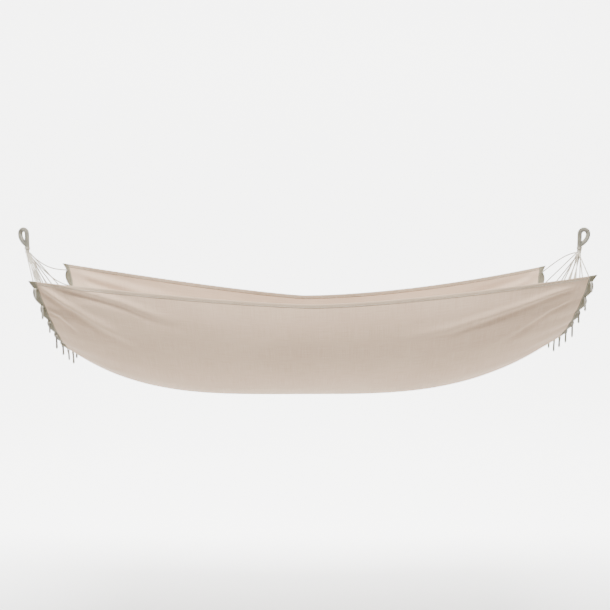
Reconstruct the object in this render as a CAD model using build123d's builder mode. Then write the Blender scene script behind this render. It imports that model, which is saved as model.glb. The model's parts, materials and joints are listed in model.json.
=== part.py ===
from build123d import *
from math import asin, atan, cos, degrees, pi, radians, sin, tan
import os

os.makedirs("parts", exist_ok=True)

# A cloth hammock that hangs from two rope eyes. The origin is the point where the
# left eye bears on its hook, +X runs to the right eye, +Z is up, and -Y is the front.
# All sizes are in millimetres.

# Hanging points and rope eyes
hanging_span = 2112
rope_diameter = 17
rope_sides = 16
rope_tuck = 0.3
loop_steps = (12, 3, 5)
eye_hole_width = 17
eye_hole_height = 38.5
left_eye_turn = 30
right_eye_turn = 10
loop_side_reach = 0.7
loop_side_drop = 0.68
loop_foot_drop = 1.31
pivot_drop = 74

# Whipping round each neck
whipping_cord = 1.8
whipping_turns = 4
whipping_pitch = 2.25
whipping_fit = 0.3
whipping_sides = 5
gap_samples = 240

# Bundle of cords under each neck, round about the swing axis. The steps of its outline
# are shares of its half length and of its radius.
bundle_radius = 9.3
bundle_length = 15
bundle_steps = ((-1, 0.55), (-0.55, 0.93), (0, 1), (0.55, 0.93), (1, 0.55))
bundle_sides = 16
swing_clearance = 0.35
neck_above_pivot = 7

# Cloth and hems
cloth_width_ends = 700
cloth_width_middle = 600
cloth_thickness = 2
cloth_lift = 0.9
hem_thickness = 4
end_hem_width = 26
side_hem_width = 12
seam_gap = 0.3
end_lean = 0.6
middle_lean = 1.02
pocket_depth = 8
pocket_fade = 4.5
pocket_runs = 2
pull_gain = 4 / 3

# Corners and keel, as distances in from the necks and down from the swing axis
left_insets = {"front": 86, "keel": 150, "back": 56}
right_insets = {"front": 20, "keel": 82, "back": 51}
left_drops = {"front": 83, "keel": 354, "back": 67}
right_drops = {"front": 61, "keel": 310, "back": 78}
middle_drops = {"front": 170, "keel": 541, "back": 195}
left_powers = {"front": 1.4, "keel": 3.8, "back": 1.2}
right_powers = {"front": 1.5, "keel": 3.2, "back": 1.7}

# Cords of one end, counted from the front corner to the back corner. The rings of a knot
# are shares of its radius, along the cord and across it.
cord_count = 14
cord_diameter = 4.5
cord_sides = 6
hole_sides = 8
knot_sides = 8
cord_seat = 0.2
cord_layers = 3
cord_layer_step = 4.8
cord_hole_clearance = 0.35
corner_hole_inset = 26
knot_radius = 6
knot_seat = 0.3
knot_rings = ((-0.94, 0.34), (-0.5, 0.86), (0.5, 0.86), (0.94, 0.34))
tail_lengths = (34, 44, 38, 48, 36)
tail_leans = (0.5, 0.2, 0.35, 0.1, 0.3)
tail_settle = 0.2

# Slack cords: share of the straight way and drop below it
left_slack = {
    12: ((0.15, 10.5), (0.32, 18.5), (0.5, 23.5), (0.68, 22), (0.86, 12.5)),
    13: ((0.15, 12.5), (0.32, 20.5), (0.5, 22.5), (0.68, 18), (0.86, 9)),
}
right_slack = {13: ((0.14, -8), (0.3, -12.5), (0.48, -13), (0.67, -9.3), (0.86, -4.1))}
arc_share = 0.45


def blend(low, high, share):
    """The value a share of the way from low to high."""
    return low + (high - low) * share


def outward(side):
    """-1 at the left end and 1 at the right end."""
    return -1 if side == "left" else 1


# Eye routes, worked out in the plane of the eye
limb_offset = (eye_hole_width + rope_diameter) / 2
left_neck_x = limb_offset * cos(radians(left_eye_turn))
neck_y = -limb_offset * sin(radians(left_eye_turn))
right_eye_y = neck_y + limb_offset * sin(radians(right_eye_turn))
right_neck_x = hanging_span - limb_offset * cos(radians(right_eye_turn))
pivots = {
    "left": Vector(left_neck_x, neck_y, -pivot_drop),
    "right": Vector(right_neck_x, neck_y, -pivot_drop),
}


def eye_plane(side):
    """The plane of an eye: local x runs outward from the bearing point, local y up."""
    turn = radians(left_eye_turn if side == "left" else right_eye_turn)
    bearing = (0, 0, 0) if side == "left" else (hanging_span, right_eye_y, 0)
    across = Vector(outward(side) * cos(turn), sin(turn), 0)
    return Plane(origin=bearing, x_dir=across, z_dir=across.cross(Vector(0, 0, 1)))


def ring_corners(plane, radius, sides):
    """Corners of a regular polygon on a plane."""
    angles = [2 * pi * corner / sides for corner in range(sides)]
    return [plane.from_local_coords((radius * cos(turn), radius * sin(turn))) for turn in angles]


def flat_sided(rings):
    """Solid with flat sides from ring to ring, closed by its first and its last ring."""
    faces = [Face(Wire.make_polygon(ring)) for ring in (rings[0], rings[-1])]
    for near, far in zip(rings, rings[1:]):
        for corner in range(len(near)):
            corners = [near[corner - 1], near[corner], far[corner], far[corner - 1]]
            faces.append(Face(Wire.make_polygon(corners)))
    return Solid(Shell(faces))


def bundle_form(side, half_length, radius):
    """The bundle's form, with its corners on rings along the swing axis."""
    rings = []
    for along, across in bundle_steps:
        ring_place = pivots[side] + Vector(half_length * along, 0, 0)
        ring_plane = Plane(origin=ring_place, x_dir=(0, 1, 0), z_dir=(1, 0, 0))
        rings.append(ring_corners(ring_plane, radius * across, bundle_sides))
    return flat_sided(rings)


def biarc(start, start_way, end, end_way):
    """Two tangent arcs from start to end, along the ways given at each."""
    chord = end - start
    both = start_way + end_way
    square = both.dot(both) - 4
    across = chord.dot(both)
    reach = (-across + (across**2 - square * chord.dot(chord)) ** 0.5) / square
    reach = abs(reach)
    middle = (start + start_way * reach + end - end_way * reach) * 0.5
    first = TangentArc(start, middle, tangent=start_way)
    TangentArc(middle, end, tangent=first % 1)


# Rope eyes: a standing limb, a loop laid back to it, and a seat for the bundle
shoulder_drop = rope_diameter / 2
eye_spots = (
    (-limb_offset, -shoulder_drop),
    (0, limb_offset - shoulder_drop),
    (limb_offset, -shoulder_drop),
    (limb_offset * loop_side_reach, -eye_hole_height * loop_side_drop),
    (-limb_offset, -eye_hole_height * loop_foot_drop),
)
neck_bottom = -(pivot_drop - neck_above_pivot)

for side in ("left", "right"):
    plane = eye_plane(side)
    limb_plane = Plane(pivots[side] + Vector(0, 0, neck_above_pivot))
    with BuildPart() as eye:
        places = [plane.from_local_coords(spot) for spot in eye_spots]
        with BuildLine():
            over = ThreePointArc(places[0], places[1], places[2])
            bulge = TangentArc(places[2], places[3], tangent=(0, 0, -1))
            foot = TangentArc(places[3], places[4], tangent=bulge % 1)
        rings = []
        for arc, steps in zip((over, bulge, foot), loop_steps):
            for step in range(steps + 1 if arc is foot else steps):
                along = step / steps
                rope_plane = Plane(origin=arc @ along, x_dir=plane.z_dir, z_dir=arc % along)
                rings.append(ring_corners(rope_plane, rope_diameter / 2 - rope_tuck, rope_sides))
        add(flat_sided(rings))
        with BuildSketch(limb_plane):
            RegularPolygon(rope_diameter / 2, rope_sides)
        extrude(amount=-neck_bottom - shoulder_drop)
        seat_half = bundle_length / 2 + swing_clearance
        seat_radius = (bundle_radius + swing_clearance) / cos(pi / bundle_sides)
        add(bundle_form(side, seat_half, seat_radius), mode=Mode.SUBTRACT)
    eye.part.label = f"{side}_eye_loop"
    export_step(eye.part, f"parts/{side}_eye_loop.step")

    with BuildPart() as bundle:
        add(bundle_form(side, bundle_length / 2, bundle_radius))
    bundle.part.label = f"{side}_cord_bundle"
    export_step(bundle.part, f"parts/{side}_cord_bundle.step")

# Whippings: a cord wound round each neck, its ends laid straight for one diameter
whipping_radius = (rope_diameter + whipping_cord) / 2 + whipping_fit
whipping_rise = whipping_pitch / (2 * pi * whipping_radius)


def helix_spot(turn, base):
    """A place on the winding after a number of turns, and the way it runs there."""
    angle = 2 * pi * turn
    spot = base + Vector(
        whipping_radius * cos(angle), whipping_radius * sin(angle), whipping_pitch * turn
    )
    return spot, Vector(-sin(angle), cos(angle), whipping_rise).normalized()


def least_gap(line):
    """The least gap between places that lie more than half a turn apart on a winding."""
    spots = [line @ (step / gap_samples) for step in range(gap_samples + 1)]
    half_turn = gap_samples // (2 * whipping_turns)
    distances = [
        (spots[far] - spots[near]).length
        for near in range(gap_samples + 1)
        for far in range(near + half_turn, gap_samples + 1)
    ]
    return min(distances) - whipping_cord


with BuildPart() as whippings:
    for side in ("left", "right"):
        base = pivots[side] + Vector(0, 0, neck_above_pivot + whipping_cord / 2 + whipping_fit)
        first_spot, first_way = helix_spot(0, base)
        last_spot, last_way = helix_spot(whipping_turns, base)
        with BuildLine() as winding:
            Line(first_spot - first_way * whipping_cord, first_spot)
            for half in range(whipping_turns * 2):
                biarc(*helix_spot(half / 2, base), *helix_spot((half + 1) / 2, base))
            Line(last_spot, last_spot + last_way * whipping_cord)
        with BuildSketch(Plane(origin=first_spot - first_way * whipping_cord, z_dir=first_way)):
            RegularPolygon(whipping_cord / 2, whipping_sides)
        sweep(path=winding.line)
        print("least gap between the turns of the", side, "whipping", round(least_gap(winding.line), 3))
whippings.part.label = "neck_whippings"
export_step(whippings.part, "parts/neck_whippings.step")


# Lines of the cloth along the hammock
def edge_spot(line, share):
    """A place on the front, keel or back line: share -1 at the left end, 1 at the right."""
    low_x = pivots["left"].X + left_insets[line]
    high_x = pivots["right"].X - right_insets[line]
    half = blend(cloth_width_middle, cloth_width_ends, share**2) / 2
    end_drops, powers = (left_drops, left_powers) if share < 0 else (right_drops, right_powers)
    drop = blend(middle_drops[line], end_drops[line], abs(share) ** powers[line])
    across = {"front": -half, "keel": 0, "back": half}[line]
    return Vector(blend(low_x, high_x, (share + 1) / 2), neck_y + across, -pivot_drop - drop)


def cross_line(share):
    """The middle line of the cloth across the hammock, from the front edge to the back.

    A cubic curve reaches three quarters of the way to its two pulls, so they lie deeper
    than the keel by that gain.
    """
    front, keel, back = (edge_spot(line, share) for line in ("front", "keel", "back"))
    middle = (front + back) * 0.5
    lean = blend(middle_lean, end_lean, share**2)
    low = middle + (keel - middle) * pull_gain
    front_pull = low + (front - middle) * lean
    back_pull = low + (back - middle) * lean
    return Bezier(front, front_pull, back_pull, back, mode=Mode.PRIVATE)


def cross_plane(share):
    """The plane that holds the cross line, facing the left end."""
    front, keel, back = (edge_spot(line, share) for line in ("front", "keel", "back"))
    middle = (front + back) * 0.5
    return Plane(origin=middle, x_dir=back - front, z_dir=(back - front).cross(keel - middle))


bed_length = edge_spot("front", 1).X - edge_spot("front", -1).X
cloth_length_share = 1 - 2 * end_hem_width / bed_length
seam_share = 2 * seam_gap / bed_length
cut_width = cross_line(1).length
first_hole_share = corner_hole_inset / cut_width
hole_shares = [
    blend(first_hole_share, 1 - first_hole_share, cord / (cord_count - 1))
    for cord in range(cord_count)
]
rim_share = side_hem_width / cut_width
rim_seam_share = (side_hem_width + seam_gap) / cut_width


def surface_spot(share, cut, height=0):
    """A place on the cloth: a share along it, a cut across it, and a height out of it."""
    line = cross_line(share)
    return line @ cut + cross_plane(share).z_dir.cross(line % cut) * height


def strip_face(share, cuts, thickness, lift=0):
    """Face across the cloth. It swells outward in a pocket between each two cords.

    A lift keeps the straight runs from cutting inside the curve.
    """
    plane = cross_plane(share)
    pocket = pocket_depth * abs(share) ** pocket_fade

    def place(cut, height):
        return plane.to_local_coords(surface_spot(share, cut, height))

    def long_side(height):
        corners = []
        for low, high in zip(cuts, cuts[1:]):
            swell = pocket if low in hole_shares and high in hole_shares else 0
            for run in range(pocket_runs):
                share = run / pocket_runs
                rise = swell * 4 * share * (1 - share)
                corners.append(place(blend(low, high, share), height + rise))
        return [*corners, place(cuts[-1], height)]

    half = thickness / 2
    with BuildSketch(plane) as strip:
        with BuildLine():
            Polyline(*long_side(lift + half), *reversed(long_side(lift - half)), close=True)
        make_face()
    return strip.sketch.face()


# Cloth: one sheet lofted from end hem to end hem
cloth_end = cloth_length_share - seam_share
cloth_cuts = [rim_seam_share, *hole_shares, 1 - rim_seam_share]
station_shares = (-1, -0.88, -0.72, -0.48, -0.2, 0.1, 0.38, 0.62, 0.8, 0.92, 1)
cloth_stations = [cloth_end * share for share in station_shares]
with BuildPart() as cloth:
    loft([strip_face(share, cloth_cuts, cloth_thickness, cloth_lift) for share in cloth_stations])
cloth.part.label = "bed_cloth"
export_step(cloth.part, "parts/bed_cloth.step")


# Side hems: the turned edge along the front and the back
def side_hem_face(share, low, high):
    """Face of a side hem between two cuts across the cloth."""
    plane = cross_plane(share)
    half = hem_thickness / 2
    corners = ((low, half), (high, half), (high, -half), (low, -half))
    with BuildSketch(plane) as hem:
        with BuildLine():
            Polyline(
                [plane.to_local_coords(surface_spot(share, *corner)) for corner in corners],
                close=True,
            )
        make_face()
    return hem.sketch.face()


for edge, low, high in (("front", 0, rim_share), ("back", 1 - rim_share, 1)):
    with BuildPart() as side_hem:
        loft([side_hem_face(share, low, high) for share in cloth_stations])
    side_hem.part.label = f"{edge}_side_hem"
    export_step(side_hem.part, f"parts/{edge}_side_hem.step")


# Cord routes: straight from the bundle through the hole in the end hem
cord_spacing = cut_width * (hole_shares[1] - hole_shares[0])
valley_angle = atan(4 * pocket_depth * (1 - 1 / pocket_runs) / cord_spacing)
knot_lift = knot_radius + knot_seat + hem_thickness / 2


def cord_hole(side, cord):
    """The middle of a cord's hole, and the way out of the cloth there."""
    reach = outward(side)
    share = hole_shares[cord]
    hole = surface_spot(reach * (1 + cloth_length_share) / 2, share)
    along = surface_spot(reach, share) - surface_spot(reach * cloth_length_share, share)
    across = cross_line(reach) % share
    return hole, across.cross(along).normalized() * reach


def cord_start(side, cord):
    """Where a cord leaves its bundle, in one of the layers that lie along the swing axis."""
    hole, _ = cord_hole(side, cord)
    layer = cord % cord_layers - (cord_layers - 1) / 2
    heart = pivots[side] + Vector(layer * cord_layer_step, 0, 0)
    way = (hole - heart).normalized()
    tilt = asin(abs(way.X))
    return heart + way * ((bundle_radius + cord_seat + cord_diameter / 2 * sin(tilt)) / cos(tilt))


def cord_spots(side, cord):
    """The places a cord passes, from its start by its slack places to its knot."""
    hole, out = cord_hole(side, cord)
    start = cord_start(side, cord)
    slack = (left_slack if side == "left" else right_slack).get(cord, ())
    spots = [start]
    for share, drop in slack:
        spots.append(start + (hole - start) * share - Vector(0, 0, drop))
    way = (hole - spots[-1]).normalized()
    spots.append(hole + way * (knot_lift / (way.dot(out) * cos(valley_angle))))
    return spots


def last_way(spots):
    """The way a cord runs through its hole."""
    return (spots[-1] - spots[-2]).normalized()


def arc_radii(spots):
    """The largest arc at each inner place that its two runs leave room for."""
    radii = []
    for before, corner, after in zip(spots, spots[1:], spots[2:]):
        turn = radians((corner - before).get_angle(after - corner))
        run = min((corner - before).length, (after - corner).length)
        radii.append(arc_share * run / tan(turn / 2))
    return radii


def cord_tube(spots):
    """Faceted tube along straight runs and tangent arcs, in the part being made.

    Its section starts square to the first run and is carried along without twisting.
    """
    radii = arc_radii(spots)
    with BuildLine(mode=Mode.PRIVATE) as route:
        if radii:
            FilletPolyline(*spots, radius=radii)
        else:
            Line(*spots)
    side_way = Plane(origin=spots[0], z_dir=spots[1] - spots[0]).x_dir
    for run in route.line.edges():
        with BuildSketch(Plane(origin=run @ 0, x_dir=side_way, z_dir=run % 0)) as ring:
            RegularPolygon(cord_diameter / 2, cord_sides)
        if run.geom_type == GeomType.LINE:
            extrude(ring.sketch, amount=run.length)
        else:
            hub = run.arc_center
            turn_axis = Axis(hub, (run @ 0 - hub).cross(run % 0))
            turn = degrees(run.length / run.radius)
            revolve(ring.sketch, axis=turn_axis, revolution_arc=turn)
            side_way = side_way.rotate(Axis((0, 0, 0), turn_axis.direction), turn)
    return radii


# End hems: the turned end of the cloth, with a hole for each cord
end_cuts = [0, *hole_shares, 1]
hole_reach = 3 * hem_thickness
for side in ("left", "right"):
    reach = outward(side)
    with BuildPart() as end_hem:
        loft(
            [strip_face(reach * share, end_cuts, hem_thickness) for share in (cloth_length_share, 1)],
            ruled=True,
        )
        for cord in range(cord_count):
            way = last_way(cord_spots(side, cord))
            hole, _ = cord_hole(side, cord)
            with BuildSketch(Plane(origin=hole - way * hole_reach, z_dir=way)):
                RegularPolygon(cord_diameter / 2 + cord_hole_clearance, hole_sides)
            extrude(amount=2 * hole_reach, mode=Mode.SUBTRACT)
    end_hem.part.label = f"{side}_end_hem"
    export_step(end_hem.part, f"parts/{side}_end_hem.step")


# Cords: each runs from the bundle through its hole to a knot, and ends in a loose tail
down = Vector(0, 0, -1)
smallest = {}
for side in ("left", "right"):
    for cord in range(cord_count):
        spots = cord_spots(side, cord)
        way = last_way(spots)
        knot = spots[-1]
        half_tail = tail_lengths[cord % len(tail_lengths)] / 2
        lean = way * tail_leans[cord % len(tail_leans)]
        bend = knot + (down + lean).normalized() * half_tail
        tip = bend + (down + lean * tail_settle).normalized() * half_tail
        with BuildPart() as cord_part:
            radii = cord_tube(spots) + cord_tube([knot, bend, tip])
            rings = []
            for height, radius in knot_rings:
                knot_plane = Plane(origin=knot + way * knot_radius * height, z_dir=way)
                rings.append(ring_corners(knot_plane, knot_radius * radius, knot_sides))
            add(flat_sided(rings))
        name = f"{side}_cord_{cord + 1:02d}"
        cord_part.part.label = name
        export_step(cord_part.part, f"parts/{name}.step")
        smallest[name] = round(min(radii), 1)
print("smallest arc of each cord", smallest)
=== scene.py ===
import json
from math import asin, atan, cos, pi, radians, sin, sqrt

import bpy
import numpy as np
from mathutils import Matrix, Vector


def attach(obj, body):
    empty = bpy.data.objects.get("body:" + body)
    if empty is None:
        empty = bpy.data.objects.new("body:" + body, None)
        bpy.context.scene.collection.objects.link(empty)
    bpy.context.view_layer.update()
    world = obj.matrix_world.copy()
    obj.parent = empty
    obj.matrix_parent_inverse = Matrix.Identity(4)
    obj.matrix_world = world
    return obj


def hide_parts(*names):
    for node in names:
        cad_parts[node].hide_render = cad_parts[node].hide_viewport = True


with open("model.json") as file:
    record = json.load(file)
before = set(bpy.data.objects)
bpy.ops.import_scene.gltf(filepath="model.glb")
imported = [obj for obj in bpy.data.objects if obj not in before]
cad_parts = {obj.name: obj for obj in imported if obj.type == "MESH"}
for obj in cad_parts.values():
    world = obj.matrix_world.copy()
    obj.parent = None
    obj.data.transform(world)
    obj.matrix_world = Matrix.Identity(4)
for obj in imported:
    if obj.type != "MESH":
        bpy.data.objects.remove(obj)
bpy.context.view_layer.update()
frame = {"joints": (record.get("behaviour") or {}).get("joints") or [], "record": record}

# The hammock's looks, in metres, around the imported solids. Shares run from -1 at the
# left end of the cloth to 1 at the right, and cuts from 0 at its front edge to 1 at the back.
chance = np.random.default_rng(11)

# Hanging points
bearings = {m["name"].split("_")[0]: Vector(m["pos_m"]) for m in frame["record"]["mounts"]}
left_eye_turn = radians(30)
right_eye_turn = radians(10)
rope_diameter = 0.017
eye_hole_width = 0.017
eye_hole_height = 0.0385
limb_offset = (rope_diameter + eye_hole_width) / 2
neck_above_pivot = 0.007
swing = Vector(frame["joints"][0]["pos_m"])
pivots = {
    "left": swing,
    "right": Vector((bearings["right"].x - limb_offset * cos(right_eye_turn), swing.y, swing.z)),
}

# Cloth, its hems and its hanging lines
width_ends = 0.7
width_middle = 0.6
cloth_thickness = 0.0011
hem_thickness = 0.004
end_hem_width = 0.026
side_hem_width = 0.012
end_lean = 0.6
middle_lean = 1.02
pull_gain = 4 / 3
pocket_depth = 0.008
pocket_fade = 4.5
insets = {
    "left": {"front": 0.086, "keel": 0.15, "back": 0.056},
    "right": {"front": 0.02, "keel": 0.082, "back": 0.051},
}
end_drops = {
    "left": {"front": 0.083, "keel": 0.354, "back": 0.067},
    "right": {"front": 0.061, "keel": 0.31, "back": 0.078},
}
middle_drops = {"front": 0.17, "keel": 0.541, "back": 0.195}
powers = {
    "left": {"front": 1.4, "keel": 3.8, "back": 1.2},
    "right": {"front": 1.5, "keel": 3.2, "back": 1.7},
}

# Cords of one end, counted from the front corner to the back corner. A slack cord passes
# places given as a share of its straight way and a drop below it.
cord_count = 14
cord_diameter = 0.0045
cord_seat = 0.0002
cord_layers = 3
cord_layer_step = 0.0048
corner_hole_inset = 0.026
bundle_radius = 0.0093
bundle_length = 0.015
knot_radius = 0.006
knot_seat = 0.0003
before_knot = 6 * cord_diameter
tail_lengths = (0.034, 0.044, 0.038, 0.048, 0.036)
tail_leans = (0.5, 0.2, 0.35, 0.1, 0.3)
tail_settle = 0.2
slack_places = {
    "left": {
        12: ((0.15, 0.0105), (0.32, 0.0185), (0.5, 0.0235), (0.68, 0.022), (0.86, 0.0125)),
        13: ((0.15, 0.0125), (0.32, 0.0205), (0.5, 0.0225), (0.68, 0.018), (0.86, 0.009)),
    },
    "right": {
        13: ((0.14, -0.008), (0.3, -0.0125), (0.48, -0.013), (0.67, -0.0093), (0.86, -0.0041)),
    },
}


def outward(side):
    """-1 at the left end and 1 at the right end."""
    return -1 if side == "left" else 1


def mix(low, high, share):
    """The value a share of the way from low to high."""
    return low + (high - low) * share


# Hanging surface of the cloth
def edge_line(line, shares):
    """Places on the front, keel or back line of the cloth."""
    shares = np.asarray(shares, float)
    low_x = pivots["left"].x + insets["left"][line]
    high_x = pivots["right"].x - insets["right"][line]
    half = mix(width_middle, width_ends, shares**2) / 2
    at_left = shares < 0
    end_drop = np.where(at_left, end_drops["left"][line], end_drops["right"][line])
    power = np.where(at_left, powers["left"][line], powers["right"][line])
    drop = mix(middle_drops[line], end_drop, np.abs(shares) ** power)
    across = {"front": -half, "keel": 0 * half, "back": half}[line]
    return np.stack([mix(low_x, high_x, (shares + 1) / 2), swing.y + across, swing.z - drop], -1)


def unit(rows):
    """Each vector of an array at length one."""
    return rows / np.linalg.norm(rows, axis=-1, keepdims=True)


curve_steps = 200


def hanging_cloth(shares, cuts):
    """Places on the smooth cloth, its outward normals and its run across, and its widths.

    shares and cuts are arrays, and each share has the whole row of cuts.
    """
    shares = np.asarray(shares, float)
    front, keel, back = (edge_line(line, shares) for line in ("front", "keel", "back"))
    middle = (front + back) / 2
    lean = mix(middle_lean, end_lean, shares**2)[:, None]
    low = middle + (keel - middle) * pull_gain
    pulls = [front, low + (front - middle) * lean, low + (back - middle) * lean, back]

    def curve(spread):
        rest = 1 - spread
        shares_of = (rest**3, 3 * rest**2 * spread, 3 * rest * spread**2, spread**3)
        return sum(s[..., None] * p[:, None] for s, p in zip(shares_of, pulls))

    def run(spread):
        rest = 1 - spread
        steps = [b - a for a, b in zip(pulls, pulls[1:])]
        shares_of = (3 * rest**2, 6 * rest * spread, 3 * spread**2)
        return sum(s[..., None] * p[:, None] for s, p in zip(shares_of, steps))

    size = (len(shares), curve_steps + 1)
    spread = np.broadcast_to(np.linspace(0, 1, curve_steps + 1), size)
    gaps = np.linalg.norm(np.diff(curve(spread), axis=1), axis=2)
    lengths = np.concatenate([np.zeros((len(shares), 1)), np.cumsum(gaps, axis=1)], axis=1)
    wanted = np.array([
        np.interp(np.asarray(cuts) * row[-1], row, spread[0]) for row in lengths
    ])
    places, runs = curve(wanted), unit(run(wanted))
    facing = unit(np.cross(back - front, keel - middle))
    normals = unit(np.cross(facing[:, None], runs))
    return places, normals, runs, lengths[:, -1]


bed_length = float(edge_line("front", 1)[0] - edge_line("front", -1)[0])
cloth_length_share = 1 - 2 * end_hem_width / bed_length
cut_width = float(hanging_cloth([1], [0, 1])[3][0])
first_hole_cut = corner_hole_inset / cut_width
hole_cuts = np.linspace(first_hole_cut, 1 - first_hole_cut, cord_count)
rim_cut = side_hem_width / cut_width
mean_width = 1.03


def spread_out(shares, cuts):
    """Metres along and across the cloth when it is laid flat."""
    return shares * bed_length / 2, cuts * mean_width


# Relief of the cloth: how far it stands out from the smooth surface
def smooth_noise(across, along, seed):
    """Smooth noise between -1 and 1 on two arrays of coordinates."""

    def lattice(i, j):
        mixed = np.sin(i * 127.1 + j * 311.7 + seed * 74.7) * 43758.5453
        return 2 * (mixed - np.floor(mixed)) - 1

    i, j = np.floor(across), np.floor(along)
    f, g = across - i, along - j
    f, g = f * f * (3 - 2 * f), g * g * (3 - 2 * g)
    near = mix(lattice(i, j), lattice(i + 1, j), f)
    far = mix(lattice(i, j + 1), lattice(i + 1, j + 1), f)
    return mix(near, far, g)


# Folds that the photograph shows: height, half width, then places as (share, cut)
folds = (
    (0.0075, 0.017, (
        (-0.985, 0.02), (-0.935, 0.052), (-0.9, 0.078),
        (-0.835, 0.115), (-0.748, 0.16), (-0.64, 0.2),
    )),
    (0.005, 0.012, ((-0.975, 0.118), (-0.932, 0.13), (-0.9, 0.165), (-0.86, 0.205))),
    (0.0055, 0.012, (
        (-0.93, 0.004), (-0.86, 0.016), (-0.78, 0.03),
        (-0.692, 0.045), (-0.558, 0.085), (-0.46, 0.1),
    )),
    (0.0065, 0.015, (
        (0.955, 0.042), (0.872, 0.052), (0.778, 0.075),
        (0.678, 0.095), (0.5, 0.13), (0.3, 0.15),
    )),
    (0.005, 0.014, ((0.94, 0.095), (0.857, 0.122), (0.762, 0.178), (0.66, 0.22))),
    (-0.005, 0.02, (
        (-0.945, 0.975), (-0.85, 0.967), (-0.725, 0.955), (-0.602, 0.945), (-0.45, 0.93),
    )),
    (-0.0035, 0.017, ((-0.93, 0.93), (-0.83, 0.915), (-0.7, 0.9))),
    (-0.005, 0.02, ((0.95, 0.96), (0.85, 0.945), (0.74, 0.93), (0.6, 0.9))),
)

# A fold rises over a first share of its line, fades over a last one, and widens on its way
fold_start = 0.12
fold_fade = 0.55
fold_spread = (0.8, 1.5)


def fold_relief(shares, cuts, height, half_width, line):
    """One fold: the cloth stands out on one side of a line and falls in on the other."""
    x, y = spread_out(shares, cuts)
    spots = [spread_out(share, cut) for share, cut in line]
    gaps = [sqrt((b[0] - a[0])**2 + (b[1] - a[1])**2) for a, b in zip(spots, spots[1:])]
    total, passed = sum(gaps), 0
    best = np.full(x.shape, np.inf)
    signed, along = np.zeros_like(x), np.zeros_like(x)
    for a, b, gap in zip(spots, spots[1:], gaps):
        way = ((b[0] - a[0]) / gap, (b[1] - a[1]) / gap)
        t = np.clip((x - a[0]) * way[0] + (y - a[1]) * way[1], 0, gap)
        off_x, off_y = x - a[0] - way[0] * t, y - a[1] - way[1] * t
        distance = np.hypot(off_x, off_y)
        nearer = distance < best
        best = np.where(nearer, distance, best)
        signed = np.where(nearer, np.where(off_y < 0, -distance, distance), signed)
        along = np.where(nearer, (passed + t) / total, along)
        passed += gap
    strength = np.clip(along / fold_start, 0, 1) * np.clip((1 - along) / fold_fade, 0, 1)
    ratio = signed / (half_width * mix(*fold_spread, along))
    return -height * strength * sqrt(2 * np.e) * ratio * np.exp(-ratio**2)


# Pockets between the cords, the unevenness of the cloth, and the puckers along its long seams
pocket_rise = 0.0058
pocket_sharpness = 14
pocket_swells = {side: chance.uniform(0.75, 1.2, cord_count + 1) for side in ("left", "right")}
pocket_fades = {side: chance.uniform(0.8, 1.5, cord_count + 1) for side in ("left", "right")}
broad_wave = 0.0028
slack_wave = 0.0012
crinkle = 0.0004
pucker_height = 0.0005
puckers_per_metre = 75
pucker_reach = 0.02


def relief(shares, cuts):
    """Height of the cloth out of its smooth surface, on two arrays of one shape."""
    spots = np.searchsorted(hole_cuts, cuts)
    inside = (spots > 0) & (spots < cord_count)
    low = hole_cuts[np.clip(spots - 1, 0, cord_count - 1)]
    high = hole_cuts[np.clip(spots, 0, cord_count - 1)]
    part = np.where(inside, (cuts - low) / np.maximum(high - low, 1e-9), 0)
    at_left = shares < 0
    swell = np.where(at_left, pocket_swells["left"][spots], pocket_swells["right"][spots])
    fade = np.where(at_left, pocket_fades["left"][spots], pocket_fades["right"][spots])
    reach = np.abs(shares)
    bow = mix(np.sin(pi * part) ** 2, np.sin(pi * part), reach**pocket_sharpness)
    height = pocket_rise * swell * reach ** (pocket_fade * fade) * bow
    for fold in folds:
        height = height + fold_relief(shares, cuts, *fold)
    x, y = spread_out(shares, cuts)
    height = height + broad_wave * smooth_noise(x * 2.2 + 5, y * 5, 3)
    height = height + slack_wave * smooth_noise(x * 4.5 + y * 3, y * 14, 5) * (0.4 + reach**2)
    height = height + crinkle * smooth_noise(x * 9 + y * 11, y * 42 + x * 3, 8) * (0.3 + reach**3)
    rim = np.minimum(cuts, 1 - cuts) * mean_width
    pucker = pucker_height * smooth_noise(x * puckers_per_metre, rim * 20, 12)
    return height + pucker * np.exp(-((rim / pucker_reach) ** 2))


def dressed_cloth(shares, cuts, heights):
    """Places on the dressed cloth, lifted out of it by heights, on a grid of shares and cuts."""
    places, normals, _, _ = hanging_cloth(shares[:, 0], cuts[0])
    return places + normals * (relief(shares, cuts) + heights)[..., None]


# Camera at the photograph's place
camera_place = Vector((1.0614, -4.2785, 0.168))
camera_pitch = radians(5.95)
camera_lens = 66.87
sensor = 36


def make_camera():
    """The camera of the photograph: 4.28 m in front, looking a little down."""
    data = bpy.data.cameras.new("photo_camera")
    data.lens = camera_lens
    data.sensor_width = sensor
    camera = bpy.data.objects.new("photo_camera", data)
    camera.location = camera_place
    camera.rotation_euler = (pi / 2 - camera_pitch, 0, 0)
    bpy.context.scene.collection.objects.link(camera)
    bpy.context.scene.camera = camera


# Materials, with slubs, clouds and patches counted to the metre
dull_specular = 0.25
thread_width = 0.0011
thread_depth = 0.00022
bands_at_scale_one = 3.2
slubs_along = 14
slubs_across = 420
clouds_per_metre = 3.2
cloud_share = 0.35
canvas_stops = (0.32, 0.5, 0.68)
fibre_depth = 0.0003
patches_per_metre = 28.0
fibre_stops = (0.34, 0.62)


def new_material(name, roughness, sheen=0.0, sheen_roughness=0.5):
    """A node material with its shader ready, and the tree that feeds it."""
    material = bpy.data.materials.new(name)
    material.use_nodes = True
    tree = material.node_tree
    shader = tree.nodes["Principled BSDF"]
    shader.inputs["Roughness"].default_value = roughness
    shader.inputs["Sheen Weight"].default_value = sheen
    shader.inputs["Sheen Roughness"].default_value = sheen_roughness
    shader.inputs["Specular IOR Level"].default_value = dull_specular
    return material, tree, shader


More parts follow.
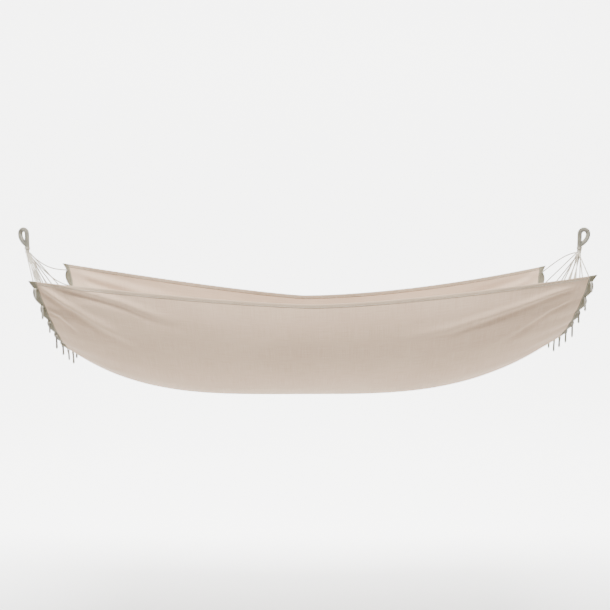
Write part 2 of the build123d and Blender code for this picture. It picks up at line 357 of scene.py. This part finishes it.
def feed(tree, socket, value):
    """Puts a number or a link into a socket."""
    if isinstance(value, bpy.types.NodeSocket):
        tree.links.new(value, socket)
    else:
        socket.default_value = value


def add_node(tree, kind, settings=None, **sockets):
    """A node with its settings, and with numbers or links put into its named sockets."""
    node = tree.nodes.new(kind)
    for key, value in (settings or {}).items():
        setattr(node, key, value)
    for name, value in sockets.items():
        feed(tree, node.inputs[name.replace("_", " ")], value)
    return node


def math_node(tree, operation, *sources, kind="ShaderNodeMath"):
    """One sum on numbers or links, given in the order of the node's inputs."""
    node = add_node(tree, kind, {"operation": operation})
    for socket, source in zip(node.inputs, sources):
        feed(tree, socket, source)
    return node.outputs[0]


def vector_node(tree, operation, *sources):
    """One sum on vectors."""
    return math_node(tree, operation, *sources, kind="ShaderNodeVectorMath")


def ramp(tree, factor, stops, colours):
    """A colour ramp with a colour at each stop."""
    node = add_node(tree, "ShaderNodeValToRGB", Fac=factor)
    while len(node.color_ramp.elements) < len(stops):
        node.color_ramp.elements.new(0.5)
    for element, stop, colour in zip(node.color_ramp.elements, stops, colours):
        element.position = stop
        element.color = (*colour, 1)
    return node.outputs["Color"]


def put_on(tree, shader, colour, height, strength, depth):
    """Gives a shader its colour and its raised and sunk places."""
    tree.links.new(colour, shader.inputs["Base Color"])
    bump = add_node(tree, "ShaderNodeBump", Height=height, Strength=strength, Distance=depth)
    tree.links.new(bump.outputs["Normal"], shader.inputs["Normal"])


def woven_material(name, *colours):
    """Canvas: warp and weft threads with slubs, on a UV map in metres.

    A wave texture has about 3.2 bands a metre at scale one, and each band spans two threads.
    """
    material, tree, shader = new_material(name, roughness=0.92, sheen=0.12, sheen_roughness=0.4)
    place = add_node(tree, "ShaderNodeUVMap", {"uv_map": "cloth"}).outputs["UV"]
    slubs = []
    for scale in ((slubs_along, slubs_across, 1), (slubs_across, slubs_along, 1)):
        moved = add_node(tree, "ShaderNodeMapping", Vector=place, Scale=scale)
        slubs.append(add_node(
            tree, "ShaderNodeTexNoise", Vector=moved.outputs["Vector"], Scale=1.0, Detail=2.0,
        ).outputs["Fac"])
    uneven = math_node(tree, "MULTIPLY", math_node(tree, "ADD", *slubs), 0.5)
    clouds = add_node(tree, "ShaderNodeTexNoise", Vector=place, Scale=clouds_per_metre, Detail=4.0)
    rest = math_node(tree, "MULTIPLY", uneven, 1 - cloud_share)
    tint = math_node(tree, "MULTIPLY_ADD", clouds.outputs["Fac"], cloud_share, rest)
    threads = []
    for direction in ("X", "Y"):
        threads.append(add_node(
            tree, "ShaderNodeTexWave", {"bands_direction": direction}, Vector=place,
            Scale=1 / (2 * thread_width * bands_at_scale_one), Distortion=0.6, Detail=1.0,
        ).outputs["Fac"])
    raised = math_node(tree, "ADD", math_node(tree, "MULTIPLY", *threads), uneven)
    put_on(tree, shader, ramp(tree, tint, canvas_stops, colours), raised, 0.55, thread_depth)
    return material


def fibre_material(name, dark, light, grain=900.0):
    """Cotton cord or thread: short fibres, and paler and darker patches."""
    material, tree, shader = new_material(name, roughness=0.88, sheen=0.1, sheen_roughness=0.45)
    place = add_node(tree, "ShaderNodeTexCoord").outputs["Object"]
    fibres, patches = (
        add_node(tree, "ShaderNodeTexNoise", Vector=place, Scale=scale, Detail=3.0).outputs["Fac"]
        for scale in (grain, patches_per_metre)
    )
    tint = math_node(tree, "MULTIPLY", math_node(tree, "ADD", fibres, patches), 0.5)
    put_on(tree, shader, ramp(tree, tint, fibre_stops, (dark, light)), fibres, 0.5, fibre_depth)
    return material


canvas_cloth = woven_material(
    "canvas", (0.37, 0.262, 0.18), (0.435, 0.315, 0.222), (0.49, 0.362, 0.26),
)
# Side hems: the canvas painted darker, as painted shade along the hem band.
side_hem_painted_shade_cloth = woven_material(
    "side_hem_painted_shade", (0.24, 0.18, 0.125), (0.31, 0.235, 0.165), (0.37, 0.285, 0.205),
)
# End hems: the canvas painted dark olive-grey, as painted shade where the hem turns sideways away
# from the light.
end_hem_painted_shade_cloth = woven_material(
    "end_hem_painted_shade", (0.085, 0.074, 0.048), (0.13, 0.115, 0.078), (0.19, 0.17, 0.12),
)
cord_cotton = fibre_material("cord_cotton", (0.26, 0.235, 0.185), (0.50, 0.46, 0.38))
# Loose tails: the cord's cotton painted darker, as painted shade for tails that hang in shadow.
tail_painted_shade_cotton = fibre_material("tail_painted_shade_cotton", (0.13, 0.12, 0.095), (0.30, 0.28, 0.235))
serving_twine = fibre_material("serving_twine", (0.12, 0.112, 0.085), (0.25, 0.235, 0.19))
rope_core = fibre_material("rope_core", (0.09, 0.084, 0.064), (0.17, 0.16, 0.13))
seam_thread = fibre_material("seam_thread", (0.52, 0.46, 0.38), (0.70, 0.64, 0.55), grain=1600.0)


# Geometry node trees
def tree_with(name, inputs):
    """A geometry node tree with named inputs, and its first and last nodes."""
    tree = bpy.data.node_groups.new(name, "GeometryNodeTree")
    face = tree.interface
    face.new_socket("Geometry", in_out="INPUT", socket_type="NodeSocketGeometry")
    for label, kind, value in inputs:
        socket = face.new_socket(label, in_out="INPUT", socket_type="NodeSocket" + kind)
        if value is not None:
            socket.default_value = value
    face.new_socket("Geometry", in_out="OUTPUT", socket_type="NodeSocketGeometry")
    return tree, tree.nodes.new("NodeGroupInput"), tree.nodes.new("NodeGroupOutput")


def end_tree(tree, last, geometry, material):
    """Ends a tree with smooth shading, real geometry and its material."""
    smooth = add_node(tree, "GeometryNodeSetShadeSmooth", Geometry=geometry)
    real = add_node(tree, "GeometryNodeRealizeInstances", Geometry=smooth.outputs["Geometry"])
    finish = add_node(
        tree, "GeometryNodeSetMaterial", Geometry=real.outputs["Geometry"], Material=material,
    )
    tree.links.new(finish.outputs["Geometry"], last.inputs["Geometry"])


def strand_tree():
    """Strands wound side by side round a line, each a tube of its own."""
    tree, first, last = tree_with("wound_strands", (
        ("Strands", "Int", 3),
        ("Lay", "Float", 0.014),
        ("Radius", "Float", 0.0011),
        ("Strand Radius", "Float", 0.0011),
        ("Points per Lay", "Float", 12.0),
        ("Ends In", "Float", 0.0),
        ("Sides", "Int", 6),
        ("Material", "Material", None),
    ))
    given = first.outputs
    step = math_node(tree, "DIVIDE", given["Lay"], given["Points per Lay"])
    resampled = add_node(
        tree, "GeometryNodeResampleCurve", {"mode": "LENGTH"},
        Curve=given["Geometry"], Length=step,
    )
    copies = add_node(
        tree, "GeometryNodeDuplicateElements", {"domain": "SPLINE"},
        Geometry=resampled.outputs["Curve"], Amount=given["Strands"],
    )
    spline = tree.nodes.new("GeometryNodeSplineParameter")
    lays = math_node(tree, "DIVIDE", spline.outputs["Length"], given["Lay"])
    turn = math_node(tree, "MULTIPLY", lays, 2 * pi)
    share = math_node(tree, "DIVIDE", copies.outputs["Duplicate Index"], given["Strands"])
    angle = math_node(tree, "ADD", turn, math_node(tree, "MULTIPLY", share, 2 * pi))
    middle = math_node(tree, "MULTIPLY_ADD", spline.outputs["Factor"], 2.0, -1.0)
    from_middle = math_node(tree, "MULTIPLY", middle, middle)
    drawn = math_node(tree, "MULTIPLY", from_middle, given["Ends In"])
    radius = math_node(tree, "MULTIPLY", given["Radius"], math_node(tree, "SUBTRACT", 1.0, drawn))
    normal = tree.nodes.new("GeometryNodeInputNormal").outputs["Normal"]
    tangent = tree.nodes.new("GeometryNodeInputTangent").outputs["Tangent"]
    side = vector_node(tree, "CROSS_PRODUCT", tangent, normal)
    out = []
    for way, wave in ((normal, "COSINE"), (side, "SINE")):
        reach = math_node(tree, "MULTIPLY", math_node(tree, wave, angle), radius)
        scaled = add_node(
            tree, "ShaderNodeVectorMath", {"operation": "SCALE"}, Vector=way, Scale=reach,
        )
        out.append(scaled.outputs[0])
    wound = add_node(
        tree, "GeometryNodeSetPosition", Geometry=copies.outputs["Geometry"],
        Offset=vector_node(tree, "ADD", *out),
    )
    ring = add_node(
        tree, "GeometryNodeCurvePrimitiveCircle",
        Radius=given["Strand Radius"], Resolution=given["Sides"],
    )
    tube = add_node(
        tree, "GeometryNodeCurveToMesh", Curve=wound.outputs["Geometry"],
        Profile_Curve=ring.outputs["Curve"], Fill_Caps=True,
    )
    end_tree(tree, last, tube.outputs["Mesh"], given["Material"])
    return tree


def stitch_tree():
    """Short stitches of thread laid end to end along a line."""
    tree, first, last = tree_with("seam_stitches", (
        ("Pitch", "Float", 0.0042),
        ("Length", "Float", 0.0032),
        ("Thickness", "Float", 0.0007),
        ("Material", "Material", None),
    ))
    given = first.outputs
    resampled = add_node(
        tree, "GeometryNodeResampleCurve", {"mode": "LENGTH"},
        Curve=given["Geometry"], Length=given["Pitch"],
    )
    points = add_node(
        tree, "GeometryNodeCurveToPoints", {"mode": "EVALUATED"}, Curve=resampled.outputs["Curve"],
    )
    bead = add_node(tree, "GeometryNodeMeshUVSphere", Segments=6, Rings=4, Radius=0.5)
    size = add_node(
        tree, "ShaderNodeCombineXYZ",
        X=given["Thickness"], Y=given["Thickness"], Z=given["Length"],
    )
    shaped = add_node(
        tree, "GeometryNodeTransform", Geometry=bead.outputs["Mesh"], Scale=size.outputs["Vector"],
    )
    along = add_node(
        tree, "FunctionNodeAlignRotationToVector", {"axis": "Z"}, Vector=points.outputs["Tangent"],
    )
    placed = add_node(
        tree, "GeometryNodeInstanceOnPoints", Points=points.outputs["Points"],
        Instance=shaped.outputs["Geometry"], Rotation=along.outputs["Rotation"],
    )
    end_tree(tree, last, placed.outputs["Instances"], given["Material"])
    return tree


wound_strands = strand_tree()
seam_stitches = stitch_tree()


# Lines, and the pieces that follow them
span_steps = 10
tube_step = 0.002


def new_line(name, kind, places):
    """A curve object with the places as the points of its spline, and that spline."""
    data = bpy.data.curves.new(name, "CURVE")
    data.dimensions = "3D"
    data.resolution_u = span_steps
    spline = data.splines.new(kind)
    spline.points.add(len(places) - 1)
    for point, place in zip(spline.points, places):
        point.co = (*place, 1)
    line = bpy.data.objects.new(name, data)
    bpy.context.scene.collection.objects.link(line)
    return line, spline


def remove_line(line):
    """Takes a curve object and its curve away."""
    data = line.data
    bpy.data.objects.remove(line)
    bpy.data.curves.remove(data)


def smooth_path(name, places):
    """Places along one smooth NURBS spline with the given places as its control points."""
    line, spline = new_line(name, "NURBS", places)
    spline.order_u = 3
    spline.use_endpoint_u = True
    bpy.context.view_layer.update()
    mesh = bpy.data.meshes.new_from_object(line)
    path = [vertex.co.copy() for vertex in mesh.vertices]
    bpy.data.meshes.remove(mesh)
    remove_line(line)
    return path


def add_mesh(name, mesh):
    """A mesh object in the scene."""
    piece = bpy.data.objects.new(name, mesh)
    bpy.context.scene.collection.objects.link(piece)
    return piece


def made_along(name, places, tree, **values):
    """The plain mesh that a node tree makes along straight steps through the places."""
    line, _ = new_line(name + "_line", "POLY", places)
    modifier = line.modifiers.new(tree.name, "NODES")
    modifier.node_group = tree
    sockets = tree.interface.items_tree
    named = {item.name: item.identifier for item in sockets if item.in_out == "INPUT"}
    for key, value in values.items():
        modifier[named[key.replace("_", " ")]] = value
    bpy.context.view_layer.update()
    graph = bpy.context.evaluated_depsgraph_get()
    mesh = bpy.data.meshes.new_from_object(line.evaluated_get(graph), depsgraph=graph)
    remove_line(line)
    mesh.name = name
    return add_mesh(name, mesh)


def plain_tube(name, places, radius, sides, material):
    """One plain tube along a line."""
    return made_along(
        name, places, wound_strands, Strands=1, Lay=tube_step, Radius=0.0, Strand_Radius=radius,
        Points_per_Lay=1.0, Sides=sides, Material=material,
    )


def grid_piece(name, places, material, uv=None, wrap=False):
    """A mesh of quads over rows of places. Rows that wrap close on themselves, and are capped."""
    rows, columns = places.shape[:2]
    index = np.arange(rows * columns).reshape(rows, columns)
    ahead = np.roll(index, -1, axis=1) if wrap else index[:, 1:]
    here = index if wrap else index[:, :-1]
    faces = np.stack([here[:-1], here[1:], ahead[1:], ahead[:-1]], -1).reshape(-1, 4).tolist()
    if wrap:
        faces += [index[0].tolist(), index[-1][::-1].tolist()]
    mesh = bpy.data.meshes.new(name)
    mesh.from_pydata(places.reshape(-1, 3).tolist(), [], faces)
    mesh.materials.append(material)
    mesh.polygons.foreach_set("use_smooth", [True] * len(mesh.polygons))
    if uv is not None:
        layer = mesh.uv_layers.new(name="cloth")
        corners = np.zeros(len(mesh.loops), np.int32)
        mesh.loops.foreach_get("vertex_index", corners)
        layer.data.foreach_set("uv", uv.reshape(-1, 2)[corners].astype(np.float32).ravel())
    mesh.update()
    return add_mesh(name, mesh)


def turned(vector, angle):
    """A flat vector turned by an angle."""
    x, y = vector
    return np.array([x * cos(angle) - y * sin(angle), x * sin(angle) + y * cos(angle)])


# Cords: each runs from its bundle through the end hem to a knot and a loose tail
valley_angle = atan(2 * pocket_depth / (cut_width * (hole_cuts[1] - hole_cuts[0])))
knot_lift = knot_radius + knot_seat + hem_thickness / 2
down = Vector((0, 0, -1))


def cord_hole(side, cord):
    """The middle of a cord's hole, and the way out of the cloth there."""
    reach = outward(side)
    shares = [reach * (1 + cloth_length_share) / 2, reach, reach * cloth_length_share]
    places, _, runs, _ = hanging_cloth(shares, [hole_cuts[cord]])
    along = Vector(places[1, 0]) - Vector(places[2, 0])
    across = Vector(runs[1, 0])
    return Vector(places[0, 0]), across.cross(along).normalized() * reach


def cord_start(side, hole, cord):
    """Where a cord leaves its bundle."""
    layer = cord % cord_layers - (cord_layers - 1) / 2
    heart = pivots[side] + Vector((layer * cord_layer_step, 0, 0))
    way = (hole - heart).normalized()
    tilt = asin(abs(way.x))
    return heart + way * ((bundle_radius + cord_seat + cord_diameter / 2 * sin(tilt)) / cos(tilt))


def cord_route(side, cord):
    """The route of a cord, and the place and way of its knot."""
    hole, out = cord_hole(side, cord)
    start = cord_start(side, hole, cord)
    spots = [start]
    for share, drop in slack_places[side].get(cord, ()):
        spots.append(start + (hole - start) * share - Vector((0, 0, drop)))
    way = (hole - spots[-1]).normalized()
    knot = hole + way * (knot_lift / (way.dot(out) * cos(valley_angle)))
    if len(spots) == 1:
        spots.append(knot - way * before_knot)
    half_tail = tail_lengths[cord % len(tail_lengths)] / 2
    lean = way * tail_leans[cord % len(tail_leans)]
    bend = knot + (down + lean).normalized() * half_tail
    tip = bend + (down + lean * tail_settle).normalized() * half_tail
    return [*spots, knot, bend, tip], knot, way


# Strands of a cord, its knot, and the threads of its loose tail, which spread or draw in
strand_lay = 0.013
strand_offset = cord_diameter * 0.245
strand_radius = cord_diameter * 0.262
knot_size = 0.0036
knot_cord_radius = 0.0021
knot_steps = 60
tail_reach = 0.06
tail_threads = 5
tail_lays = (0.035, 0.06)
tail_spread = 0.0024
tail_thread_radius = 0.0011
tail_opening = (-0.5, 0.1)


def knot_line(place, way):
    """Places along an overhand knot drawn tight round a cord, turned by chance."""
    side = way.orthogonal().normalized()
    up = way.cross(side)
    spin = chance.uniform(0, 2 * pi)
    places = []
    for step in range(knot_steps + 1):
        t = 2 * pi * step / knot_steps
        flat = ((sin(t) + 2 * sin(2 * t)) / 3, (cos(t) - 2 * cos(2 * t)) / 3)
        right, above = turned(flat, spin)
        places.append(place + (side * right + up * above - way * sin(3 * t) / 2) * knot_size)
    return places


def make_cord(side, cord):
    """One cord with its knot and loose tail."""
    name = f"{side}_cord_{cord + 1:02d}"
    spots, knot, way = cord_route(side, cord)
    path = smooth_path(name + "_route", spots)
    rope = made_along(
        name + "_rope", path, wound_strands, Strands=3, Lay=strand_lay, Radius=strand_offset,
        Strand_Radius=strand_radius, Points_per_Lay=10.0, Sides=6, Material=cord_cotton,
    )
    tied = plain_tube(name + "_knot", knot_line(knot, way), knot_cord_radius, 8, cord_cotton)
    below = [
        place for place in path
        if (place - knot).dot(down) > 0 and (place - knot).length < tail_reach
    ]
    # The tail's cotton carries painted shade.
    loose = made_along(
        name + "_loose_tail", [knot, *below[:-1]], wound_strands, Strands=tail_threads,
        Lay=chance.uniform(*tail_lays), Radius=tail_spread, Strand_Radius=tail_thread_radius,
        Points_per_Lay=16.0, Ends_In=chance.uniform(*tail_opening), Sides=6, Material=tail_painted_shade_cotton,
    )
    for piece in (rope, tied, loose):
        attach(piece, "bed")
    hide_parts(name)


make_camera()
for end in ("left", "right"):
    for number in range(cord_count):
        make_cord(end, number)


# Cloth and hems
def eased(low, high, count, crowd):
    """Values from low to high that crowd a little towards both ends."""
    t = np.linspace(-1, 1, count)
    t = mix(t, np.sin(t * pi / 2), crowd)
    return mix(low, high, (t + 1) / 2)


def cloth_uv(shares, cuts):
    """A UV map in metres for places on the cloth."""
    return np.stack(spread_out(shares, cuts), -1)


# The canvas runs on under its end hems by a share, and under the inner part of its side hems
canvas_rows = 300
canvas_columns = 150
canvas_tuck = 0.004
rim_without_canvas = 0.6
canvas_rim = rim_cut * rim_without_canvas


def make_canvas():
    """The cloth between its hems, as a thin closed sheet."""
    last_share = cloth_length_share + canvas_tuck
    share_row = eased(-last_share, last_share, canvas_rows, crowd=0.5)
    cut_row = eased(canvas_rim, 1 - canvas_rim, canvas_columns, crowd=0.25)
    shares, cuts = np.meshgrid(share_row, cut_row, indexing="ij")
    outer = dressed_cloth(shares, cuts, cloth_thickness / 2)
    inner = dressed_cloth(shares, cuts, -cloth_thickness / 2)
    places = np.concatenate([outer, inner[:, ::-1]], axis=1)
    uv = cloth_uv(shares, cuts)
    uv = np.concatenate([uv, uv[:, ::-1]], axis=1)
    piece = grid_piece("canvas_bed", places, canvas_cloth, uv, wrap=True)
    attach(piece, "bed")
    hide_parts("bed_cloth")
    return piece


# Outline of a side hem: metres in from the edge, and height as a share of its half thickness
side_hem_outline = (
    (0.012, 0.55), (0.0105, 0.8), (0.007, 0.95), (0.0035, 1.0), (0.001, 0.75), (0.0, 0.3),
    (0.0, -0.3), (0.001, -0.75), (0.0035, -1.0), (0.007, -0.95), (0.0105, -0.8), (0.012, -0.55),
)
side_hem_rows = 460


def make_side_hem(edge):
    """The turned hem along the front or the back edge."""
    share_row = eased(-cloth_length_share, cloth_length_share, side_hem_rows, crowd=0.3)
    inward, tall = np.array(side_hem_outline).T
    reach = inward / cut_width
    cut_row = reach if edge == "front" else 1 - reach
    shares, cuts = np.meshgrid(share_row, cut_row, indexing="ij")
    places, uv = dressed_cloth(shares, cuts, tall * hem_thickness / 2), cloth_uv(shares, cuts)
    if edge == "front":
        places, uv = places[:, ::-1], uv[:, ::-1]
    # The side hem's cloth carries painted shade.
    piece = grid_piece(edge + "_hem", places, side_hem_painted_shade_cloth, uv, wrap=True)
    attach(piece, "bed")
    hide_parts(edge + "_side_hem")
    return piece


# Outline of an end hem: share of its width in from the edge, and height as above
end_hem_outline = (
    (1.0, 0.5), (0.93, 0.75), (0.75, 0.88), (0.5, 0.95), (0.25, 1.0), (0.1, 0.9), (0.02, 0.5),
    (0.0, 0.0), (0.02, -0.5), (0.1, -0.9), (0.25, -1.0), (0.5, -0.95), (0.75, -0.88),
    (0.93, -0.75), (1.0, -0.5),
)
end_hem_columns = 560
bulge_reach = 0.0025
bulge_power = 0.8
corner_bulge = 0.85
notch_reach = 0.0085
notch_change = 0.35


def make_end_hem(side):
    """The turned hem at one end, notched at each cord and bulging between them."""
    cut_row = np.linspace(0, 1, end_hem_columns)
    part = np.interp(cut_row, hole_cuts, np.arange(cord_count))
    swell = np.abs(np.sin(pi * part)) ** bulge_power
    from_corner = np.minimum(cut_row, 1 - cut_row) / hole_cuts[0]
    swell = np.where(from_corner < 1, corner_bulge * (1 - from_corner), swell)
    depth = notch_reach * (1 + notch_change * smooth_noise(cut_row * 13, cut_row * 0, 21))
    bulge = mix(-depth, bulge_reach, swell)[:, None]
    width, tall = np.array(end_hem_outline).T
    inward = width * end_hem_width - (1 - width) * bulge
    shares = outward(side) * (1 - 2 * inward / bed_length)
    cuts = np.broadcast_to(cut_row[:, None], shares.shape)
    height = tall[:, None] * hem_thickness / 2
    places = np.stack([
        dressed_cloth(share_row[:, None], cuts_there[:, None], height)[:, 0]
        for share_row, cuts_there in zip(shares, cuts)
    ])
    uv = cloth_uv(shares, cuts)
    if side == "left":
        places, uv = places[:, ::-1], uv[:, ::-1]
    # The end hem's cloth carries painted shade.
    piece = grid_piece(side + "_hem", places, end_hem_painted_shade_cloth, uv, wrap=True)
    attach(piece, "bed")
    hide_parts(side + "_end_hem")
    return piece


seam_steps = 700
seam_lift = 0.0018
side_seam_inset = 0.0095
side_seam_cut = side_seam_inset / cut_width
end_seam_inset = 0.023
end_seam_share = 1 - 2 * end_seam_inset / bed_length
end_seam_rim = 0.004


def make_seam(name, share_row, cut_row, height):
    """A row of stitches over the cloth, along it at one cut or across it at one share."""
    shares, cuts = np.meshgrid(share_row, cut_row, indexing="ij")
    places = dressed_cloth(shares, cuts, height).reshape(-1, 3)
    piece = made_along(name, places, seam_stitches, Material=seam_thread)
    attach(piece, "bed")
    return piece


def make_seams():
    """Stitches along every hem, on both faces of the cloth."""
    made = []
    along = np.linspace(-cloth_length_share, cloth_length_share, seam_steps)
    across = np.linspace(end_seam_rim, 1 - end_seam_rim, seam_steps)
    for face, lift in (("outer", seam_lift), ("inner", -seam_lift)):
        for edge, cut in (("front", side_seam_cut), ("back", 1 - side_seam_cut)):
            made.append(make_seam(f"{edge}_{face}_seam", along, [cut], lift))
        for side in ("left", "right"):
            share = outward(side) * end_seam_share
            made.append(make_seam(f"{side}_{face}_seam", [share], across, lift))
    return made


canvas = make_canvas()
hems = [make_side_hem("front"), make_side_hem("back"), make_end_hem("left"), make_end_hem("right")]
seams = make_seams()


# Rope eyes, their serving and the whipping round each neck
def tangent_arc(start, way, end, steps):
    """Places on the arc that leaves start along a way and reaches end, and the way there."""
    start, way, end = np.array(start), np.array(way), np.array(end)
    chord = end - start
    across = np.array([-way[1], way[0]])
    radius = chord @ chord / (2 * chord @ across)
    centre = start + across * radius
    first, last = start - centre, end - centre
    turn = np.arctan2(first[0] * last[1] - first[1] * last[0], first @ last)
    if np.sign(turn) != np.sign(radius):
        turn += np.sign(radius) * 2 * pi
    places = [centre + turned(first, part) for part in np.linspace(0, turn, steps + 1)]
    return places, turned(way, turn)


loop_side_reach = 0.7
loop_side_drop = 0.68
loop_foot_drop = 1.31
limb_steps = 24
over_steps = 30
beside_steps = 12
under_steps = 18


def eye_places(side):
    """The line of the rope: up the neck, over the hook's place and back down to the neck."""
    shoulder = -rope_diameter / 2
    neck_low = -(bearings[side].z - pivots[side].z - neck_above_pivot)
    heights = np.linspace(neck_low, shoulder, limb_steps)
    limb = [np.array([-limb_offset, height]) for height in heights]
    over, way = tangent_arc((-limb_offset, shoulder), (0, 1), (limb_offset, shoulder), over_steps)
    lower = (limb_offset * loop_side_reach, -eye_hole_height * loop_side_drop)
    foot = (-limb_offset, -eye_hole_height * loop_foot_drop)
    beside, way = tangent_arc(over[-1], way, lower, beside_steps)
    under, way = tangent_arc(beside[-1], way, foot, under_steps)
    turn = left_eye_turn if side == "left" else right_eye_turn
    across = Vector((outward(side) * cos(turn), sin(turn), 0))
    return [
        bearings[side] + across * place[0] + Vector((0, 0, place[1]))
        for place in (*limb, *over[1:], *beside[1:], *under[1:])
    ]


# The twine lies turn against turn, and its turns are sunk a little into the core
twine_radius = 0.00085
core_inset = 1.2
twine_inset = 0.9
core_radius = rope_diameter / 2 - twine_radius * core_inset
serving_radius = rope_diameter / 2 - twine_radius * twine_inset


def make_eye(side):
    """A served rope eye: its core, and the twine wound round it all the way."""
    places = eye_places(side)
    core = plain_tube(side + "_eye_core", places, core_radius, 24, rope_core)
    serving = made_along(
        side + "_eye_serving", places, wound_strands, Strands=1, Lay=2 * twine_radius,
        Radius=serving_radius, Strand_Radius=twine_radius, Points_per_Lay=22.0, Sides=5,
        Material=serving_twine,
    )
    for piece in (core, serving):
        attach(piece, "eyes")
    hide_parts(side + "_eye_loop")


whipping_radius = 0.0097
whipping_cord = 0.0018
whipping_rise = 0.00225
whipping_turns = 4
whipping_steps = 12
whipping_fit = 0.0003
whipping_low = neck_above_pivot + whipping_cord / 2 + whipping_fit
whipping_high = whipping_low + whipping_rise * whipping_turns


def make_whippings():
    """The cord wound round both necks."""
    made = []
    for side in ("left", "right"):
        heights = np.linspace(whipping_low, whipping_high, whipping_steps)
        made.append(made_along(
            side + "_neck_whipping", [pivots[side] + Vector((0, 0, height)) for height in heights],
            wound_strands, Strands=1, Lay=whipping_rise, Radius=whipping_radius,
            Strand_Radius=whipping_cord / 2, Points_per_Lay=28.0, Sides=8, Material=cord_cotton,
        ))
        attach(made[-1], "eyes")
    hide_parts("neck_whippings")


knob_inset = 0.0012
knob_cord_radius = 0.0019
knob_lay = 0.0052
knob_rounding = 0.42
knob_steps = 15


def make_bundle(side):
    """The cords drawn tight under a neck: a knob of turns round the swing axis."""
    half = Vector((bundle_length / 2 - knob_inset, 0, 0))
    places = [pivots[side] + half * share for share in np.linspace(-1, 1, knob_steps)]
    knob = made_along(
        side + "_cord_knob", places, wound_strands, Strands=2, Lay=knob_lay,
        Radius=bundle_radius - knob_cord_radius, Strand_Radius=knob_cord_radius, Points_per_Lay=28.0,
        Ends_In=knob_rounding, Sides=8, Material=cord_cotton,
    )
    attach(knob, "bed")
    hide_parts(side + "_cord_bundle")


for end in ("left", "right"):
    make_eye(end)
    make_bundle(end)
make_whippings()


# Stage and light
hammock_middle = Vector((1.06, 0, -0.35))
floor_height = -1.65
floor_front = -9.0
floor_back = 3.0
stage_width = 14
backdrop_turn = 3.0
backdrop_top = 9.0
turn_steps = 16
glow_reach = (0.1, 1.6)
stage_glow = (0.25, 4.0)
world_glow = 0.35
lights = (
    ("top_light", (1.06, -1.5, 2.7), (2.6, 1.0), 560),
    ("front_light", (-1.2, -4.6, 2.4), (1.6, 1.2), 60),
)


def make_stage():
    """A pale floor that turns up into a backdrop, which glows more the further back it lies."""
    material, tree, shader = new_material("stage_paper", roughness=0.95)
    shader.inputs["Base Color"].default_value = (0.93, 0.93, 0.925, 1)
    shader.inputs["Emission Color"].default_value = (1, 1, 0.985, 1)
    place = add_node(tree, "ShaderNodeTexCoord").outputs["Object"]
    parts = add_node(tree, "ShaderNodeSeparateXYZ", Vector=place)
    glow = add_node(
        tree, "ShaderNodeMapRange", Value=parts.outputs["Y"], From_Min=glow_reach[0],
        From_Max=glow_reach[1], To_Min=stage_glow[0], To_Max=stage_glow[1],
    )
    tree.links.new(glow.outputs["Result"], shader.inputs["Emission Strength"])
    profile = [(floor_front, 0.0), (floor_back, 0.0)]
    for step in range(1, turn_steps + 1):
        turn = pi / 2 * step / turn_steps
        profile.append((floor_back + backdrop_turn * sin(turn), backdrop_turn * (1 - cos(turn))))
    profile.append((floor_back + backdrop_turn, backdrop_top))
    sides = (hammock_middle.x + stage_width, hammock_middle.x - stage_width)
    rows = np.array([[(x, y, floor_height + z) for x in sides] for y, z in profile])
    grid_piece("studio_floor", rows, material)


def make_light(name, place, size, power):
    """A soft area light that looks at the hammock."""
    data = bpy.data.lights.new(name, "AREA")
    data.energy = power
    data.shape = "RECTANGLE"
    data.size, data.size_y = size
    light = bpy.data.objects.new(name, data)
    light.location = place
    light.rotation_euler = (hammock_middle - Vector(place)).to_track_quat("-Z", "Y").to_euler()
    bpy.context.scene.collection.objects.link(light)


make_stage()
for light in lights:
    make_light(*light)
world = bpy.data.worlds.new("studio")
world.use_nodes = True
world.node_tree.nodes["Background"].inputs["Color"].default_value = (1, 1, 1, 1)
world.node_tree.nodes["Background"].inputs["Strength"].default_value = world_glow
bpy.context.scene.world = world
